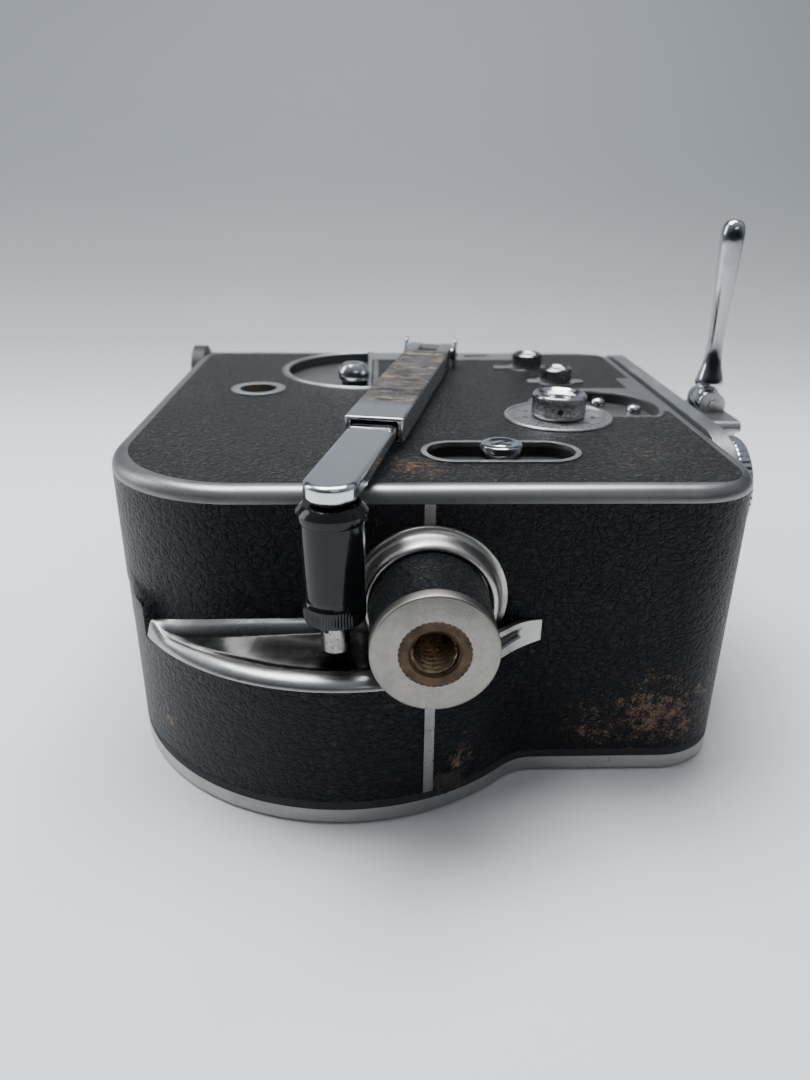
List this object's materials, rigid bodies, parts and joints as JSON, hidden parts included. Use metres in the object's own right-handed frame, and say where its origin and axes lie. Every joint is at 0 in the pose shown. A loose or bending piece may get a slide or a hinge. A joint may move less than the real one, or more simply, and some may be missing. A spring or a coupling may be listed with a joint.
{
  "type": "spring-wound 16 mm cine camera",
  "caption": "Compact clockwork 16 mm cine camera body with lens turret, folding winding crank, tripod boss and lift-off film door.",
  "frame": {"origin": "centre of the tripod socket's mouth", "axes": "+X towards the lens front, +Y from the tripod socket towards the carrying strap, +Z towards the winding side; the camera lies on its film door"},
  "size_m": [0.165, 0.2168, 0.121],
  "materials": {
    "cast_aluminium": "stained satin cast aluminium",
    "bright_aluminium": "polished aluminium with fine scratches",
    "chrome": "bright chrome plate, worn at edges",
    "steel": "turned steel",
    "blued_steel": "blued spring steel",
    "brass": "dulled brass",
    "black_leather": "pebbled black leatherette, worn tan at edges",
    "strap_leather": "black stitched leather",
    "black_plastic": "glossy black moulded knob",
    "black_paint": "matt black paint"
  },
  "bodies": {
    "camera": {"film_casing": "cast_aluminium", "mechanism_casing": "cast_aluminium", "side_cover": "bright_aluminium", "front_plate": "cast_aluminium", "mechanism_leather": "black_leather", "film_leather": "black_leather", "side_leather": "black_leather", "boss_leather": "black_leather", "tripod_boss": "cast_aluminium", "tripod_insert": "brass", "boss_collar": "bright_aluminium", "seam_strip": "bright_aluminium", "speed_dial_plate": "bright_aluminium", "release_slot_bezel": "bright_aluminium", "control_plates": "bright_aluminium", "counter_plate": "bright_aluminium", "motor_drive_bush": "bright_aluminium", "recess_screws": "steel", "focus_tube": "black_paint", "carrying_strap": "strap_leather", "strap_lugs": "chrome", "film_gate": "steel"},
    "winder": {"crank_hub": "chrome", "crank_hinge_pin": "chrome"},
    "crank_arm": {"crank_sleeve": "chrome"},
    "crank_extension": {"crank_slide": "chrome", "crank_spindle": "steel"},
    "crank_grip": {"crank_knob": "black_plastic"},
    "speed_knob": {"speed_dial_knob": "chrome"},
    "release": {"release_slider": "chrome"},
    "exposure_knob": {"exposure_selector": "chrome"},
    "reset_knob": {"counter_reset_knob": "chrome"},
    "clutch": {"clutch_lever": "chrome"},
    "lens_turret": {"turret": "bright_aluminium", "turret_screw": "steel", "port_plug": "chrome", "turret_lever_pin": "steel"},
    "turret_handle": {"turret_lever": "chrome"},
    "front_release": {"front_release_button": "chrome"},
    "eyepiece": {"focus_eyepiece": "chrome"},
    "door": {"film_door": "bright_aluminium", "door_leather": "black_leather"},
    "lock_low": {"door_lock_1": "chrome"},
    "lock_high": {"door_lock_2": "chrome"},
    "winding_gear": {"winding_shaft": "steel"},
    "arbor": {"spring_arbor": "steel"},
    "pawl": {"ratchet_pawl": "steel"},
    "barrel": {"spring_barrel": "brass", "mainspring": "blued_steel"},
    "train_wheel": {"great_wheel": "brass"},
    "drive": {"drive_spindle": "steel"},
    "governor_set": {"governor": "brass"},
    "sprocket_high": {"upper_sprocket": "steel"},
    "sprocket_low": {"lower_sprocket": "steel"},
    "idler": {"idler_gear": "brass"},
    "shutter_disc": {"shutter": "black_paint"},
    "film_pad": {"pressure_plate": "steel"},
    "claw": {"film_claw": "steel"},
    "supply": {"supply_spindle": "steel"},
    "takeup": {"takeup_spindle": "steel"}
  },
  "joints": [
    {"name": "crank_turn", "type": "hinge", "parent": "camera", "child": "winder", "pos_m": [0.007, 0.1398, 0.0246], "axis": [0, 0, 1], "range_deg": [-4, 0]},
    {"name": "crank_fold", "type": "hinge", "parent": "winder", "child": "crank_arm", "pos_m": [0.007, 0.1398, 0.0292], "axis": [-0.9785, 0.2062, 0], "range_deg": [0, 175]},
    {"name": "crank_extend", "type": "slide", "parent": "crank_arm", "child": "crank_extension", "axis": [-0.2062, -0.9785, 0], "range_m": [0, 0.012]},
    {"name": "crank_knob_spin", "type": "hinge", "parent": "crank_extension", "child": "crank_grip", "pos_m": [-0.0196, 0.01357, 0.0122], "axis": [0, 0, 1], "continuous": true},
    {"name": "speed_dial_turn", "type": "hinge", "parent": "camera", "child": "speed_knob", "pos_m": [0.0372, 0.0783, 0.0246], "axis": [0, 0, 1], "range_deg": [0, 270]},
    {"name": "release_slide", "type": "slide", "parent": "camera", "child": "release", "axis": [1, 0, 0], "range_m": [-0.009, 0.009]},
    {"name": "exposure_turn", "type": "hinge", "parent": "camera", "child": "exposure_knob", "pos_m": [0.0446, 0.1188, 0.0246], "axis": [0, 0, 1], "range_deg": [0, 70]},
    {"name": "counter_reset_turn", "type": "hinge", "parent": "camera", "child": "reset_knob", "pos_m": [0.039, 0.1388, 0.0246], "axis": [0, 0, 1], "continuous": true},
    {"name": "clutch_swing", "type": "hinge", "parent": "camera", "child": "clutch", "pos_m": [-0.014, 0.1368, 0.0246], "axis": [0, 0, 1], "range_deg": [-120, 0]},
    {"name": "turret_turn", "type": "hinge", "parent": "camera", "child": "lens_turret", "pos_m": [0.078, 0.0918, -0.0038], "axis": [1, 0, 0], "continuous": true},
    {"name": "turret_lever_fold", "type": "hinge", "parent": "lens_turret", "child": "turret_handle", "pos_m": [0.083, 0.0943, 0.0252], "axis": [0, 1, 0], "range_deg": [0, 90]},
    {"name": "front_release_press", "type": "slide", "parent": "camera", "child": "front_release", "axis": [-1, 0, 0], "range_m": [0, 0.0018]},
    {"name": "eyepiece_focus", "type": "hinge", "parent": "camera", "child": "eyepiece", "pos_m": [-0.074, 0.1743, 0.0142], "axis": [1, 0, 0], "range_deg": [-45, 45]},
    {"name": "door_lift_off", "type": "slide", "parent": "camera", "child": "door", "axis": [0, 0, -1], "range_m": [0, 0.03]},
    {"name": "lock_low_turn", "type": "hinge", "parent": "door", "child": "lock_low", "pos_m": [0.04, 0.0398, -0.0458], "axis": [0, 0, 1], "range_deg": [0, 90]},
    {"name": "lock_high_turn", "type": "hinge", "parent": "door", "child": "lock_high", "pos_m": [0.04, 0.1748, -0.0458], "axis": [0, 0, 1], "range_deg": [0, 90]},
    {"name": "arbor_turn", "type": "hinge", "parent": "camera", "child": "arbor", "pos_m": [-0.014, 0.09398, -0.0018], "axis": [0, 0, 1], "continuous": true},
    {"name": "winding_shaft_turn", "type": "hinge", "parent": "camera", "child": "winding_gear", "pos_m": [0.007, 0.1398, -0.0018], "axis": [0, 0, 1], "continuous": true},
    {"name": "pawl_rock", "type": "hinge", "parent": "camera", "child": "pawl", "pos_m": [-0.02152, 0.07331, 0.0002], "axis": [0, 0, 1], "range_deg": [0, 12]},
    {"name": "barrel_turn", "type": "hinge", "parent": "camera", "child": "barrel", "pos_m": [-0.014, 0.09398, 0.0092], "axis": [0, 0, 1], "continuous": true},
    {"name": "great_wheel_turn", "type": "hinge", "parent": "camera", "child": "train_wheel", "pos_m": [0.02792, 0.10443, 0.0182], "axis": [0, 0, 1], "continuous": true},
    {"name": "drive_spindle_turn", "type": "hinge", "parent": "camera", "child": "drive", "pos_m": [0.0516, 0.11305, 0.0182], "axis": [0, 0, 1], "continuous": true},
    {"name": "governor_turn", "type": "hinge", "parent": "camera", "child": "governor_set", "pos_m": [0.03654, 0.08075, 0.0182], "axis": [0, 0, 1], "continuous": true},
    {"name": "upper_sprocket_turn", "type": "hinge", "parent": "camera", "child": "sprocket_high", "pos_m": [0.03289, 0.12385, -0.0258], "axis": [0, 0, 1], "continuous": true},
    {"name": "idler_turn", "type": "hinge", "parent": "camera", "child": "idler", "pos_m": [0.03289, 0.09145, -0.0038], "axis": [0, 0, 1], "continuous": true},
    {"name": "lower_sprocket_turn", "type": "hinge", "parent": "camera", "child": "sprocket_low", "pos_m": [0.03289, 0.05905, -0.0258], "axis": [0, 0, 1], "continuous": true},
    {"name": "shutter_turn", "type": "hinge", "parent": "camera", "child": "shutter_disc", "pos_m": [0.068, 0.11305, -0.0108], "axis": [1, 0, 0], "continuous": true},
    {"name": "pressure_plate_open", "type": "slide", "parent": "camera", "child": "film_pad", "axis": [-1, 0, 0], "range_m": [0, 0.003]},
    {"name": "claw_stroke", "type": "slide", "parent": "camera", "child": "claw", "axis": [0, 1, 0], "range_m": [0, 0.0076]},
    {"name": "supply_spindle_turn", "type": "hinge", "parent": "camera", "child": "supply", "pos_m": [-0.0184, 0.1532, -0.0278], "axis": [0, 0, 1], "continuous": true},
    {"name": "takeup_spindle_turn", "type": "hinge", "parent": "camera", "child": "takeup", "pos_m": [-0.0184, 0.0614, -0.0278], "axis": [0, 0, 1], "continuous": true}
  ],
  "couplings": [
    {"joint": "winding_shaft_turn", "follows": "arbor_turn", "ratio": -3},
    {"joint": "great_wheel_turn", "follows": "barrel_turn", "ratio": -8},
    {"joint": "drive_spindle_turn", "follows": "barrel_turn", "ratio": 48},
    {"joint": "governor_turn", "follows": "barrel_turn", "ratio": 48},
    {"joint": "upper_sprocket_turn", "follows": "barrel_turn", "ratio": -9.6},
    {"joint": "idler_turn", "follows": "barrel_turn", "ratio": 12},
    {"joint": "lower_sprocket_turn", "follows": "barrel_turn", "ratio": -9.6},
    {"joint": "shutter_turn", "follows": "barrel_turn", "ratio": 48}
  ]
}
